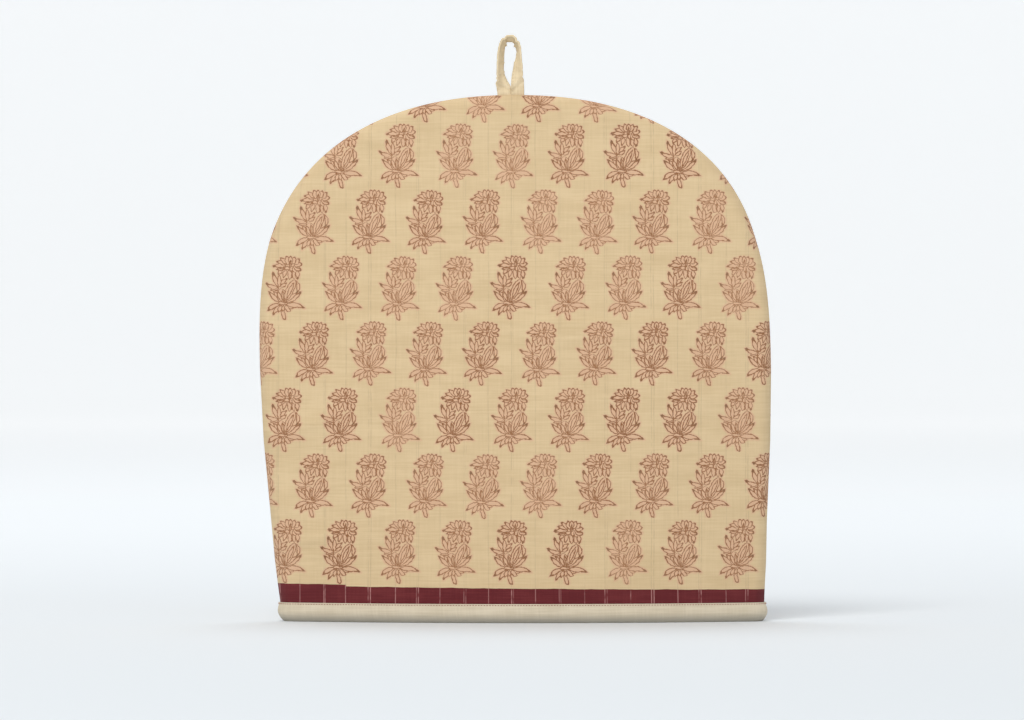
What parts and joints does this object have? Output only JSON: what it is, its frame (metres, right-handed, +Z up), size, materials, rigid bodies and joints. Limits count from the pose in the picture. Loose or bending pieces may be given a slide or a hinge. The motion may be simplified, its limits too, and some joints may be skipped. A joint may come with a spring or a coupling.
{
  "type": "tea cosy",
  "caption": "Padded dome-shaped cloth cover for a teapot, open at its bound hem, with a hanging loop of folded tape in the top seam.",
  "frame": {"origin": "on the surface it stands on, at the bottom centre of its bounding box", "axes": "+Z up from the hem to the loop, width along X, printed front towards -Y"},
  "size_m": [0.3202, 0.0766, 0.3656],
  "materials": {
    "printed_cotton": "ochre cotton, block printed with brick-red sprigs and a maroon border",
    "cream_cotton": "plain woven cream cotton",
    "cream_tape": "folded and edge-stitched cotton tape"
  },
  "bodies": {
    "root": {"front_wall": "printed_cotton", "back_wall": "printed_cotton", "hem_binding": "cream_cotton", "hanging_loop": "cream_tape"}
  },
  "joints": []
}
